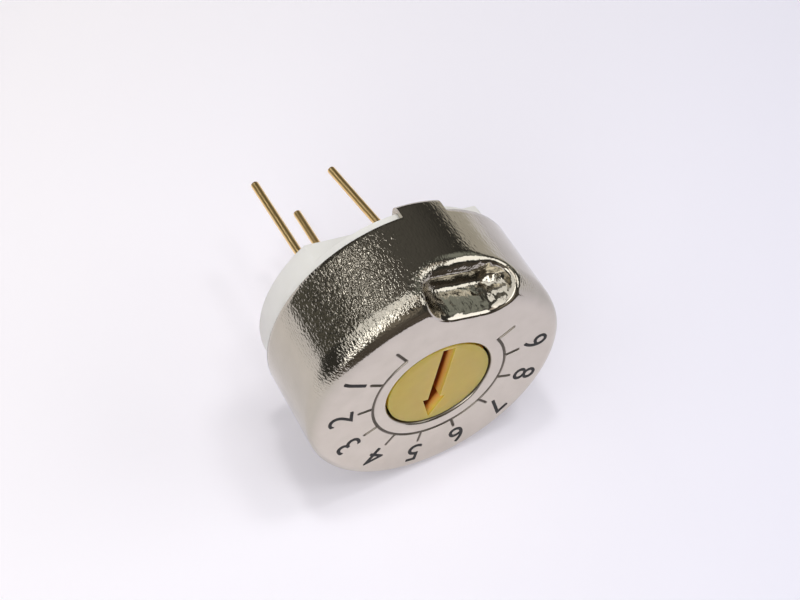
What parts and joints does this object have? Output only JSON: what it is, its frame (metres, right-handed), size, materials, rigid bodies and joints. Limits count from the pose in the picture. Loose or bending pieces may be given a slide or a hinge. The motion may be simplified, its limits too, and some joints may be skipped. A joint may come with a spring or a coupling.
{
  "type": "trimmer potentiometer",
  "caption": "Round trimmer potentiometer: pressed metal cover with a dial and a stop dimple, amber rotor with an arrow-shaped driver slot, moulded base and board pins.",
  "frame": {"origin": "centre of the base's seating plane, on the rotor's axis", "axes": "+Z along the rotor's axis, out of the dial face; -Y towards the cover's stop dimple; +X towards pin 1"},
  "size_m": [0.0126, 0.0126, 0.0144],
  "materials": {
    "tinned_cover": "bright tin-nickel plate over drawn sheet, slightly grainy",
    "white_moulding": "satin off-white thermoset moulding",
    "alumina": "fired white alumina",
    "resistive_film": "fired dark cermet film",
    "conductor_film": "fired silver-palladium film",
    "gold_plate": "thin gold plate over drawn wire",
    "solder": "soldered tin alloy",
    "sealing_resin": "cured potting resin",
    "amber_plastic": "slightly translucent amber moulding",
    "spring_alloy": "rolled copper alloy spring sheet",
    "seal_rubber": "smooth black rubber"
  },
  "bodies": {
    "root": {"cover": "tinned_cover", "base": "white_moulding", "substrate": "alumina", "resistive_track": "resistive_film", "end_pad_1": "conductor_film", "end_pad_3": "conductor_film", "collector": "conductor_film", "pin_1": "gold_plate", "pin_2": "gold_plate", "pin_3": "gold_plate", "pin_joint_1": "solder", "pin_joint_2": "solder", "pin_joint_3": "solder", "pin_seal_1": "sealing_resin", "pin_seal_2": "sealing_resin", "pin_seal_3": "sealing_resin", "rim_seal": "seal_rubber"},
    "adjuster": {"rotor": "amber_plastic", "wiper": "spring_alloy", "o_ring": "seal_rubber"}
  },
  "joints": [
    {"name": "rotor_turn", "type": "hinge", "parent": "root", "child": "adjuster", "pos_m": [0, 0, 0.0064], "axis": [0, 0, 1], "range_deg": [-135, 135]}
  ]
}
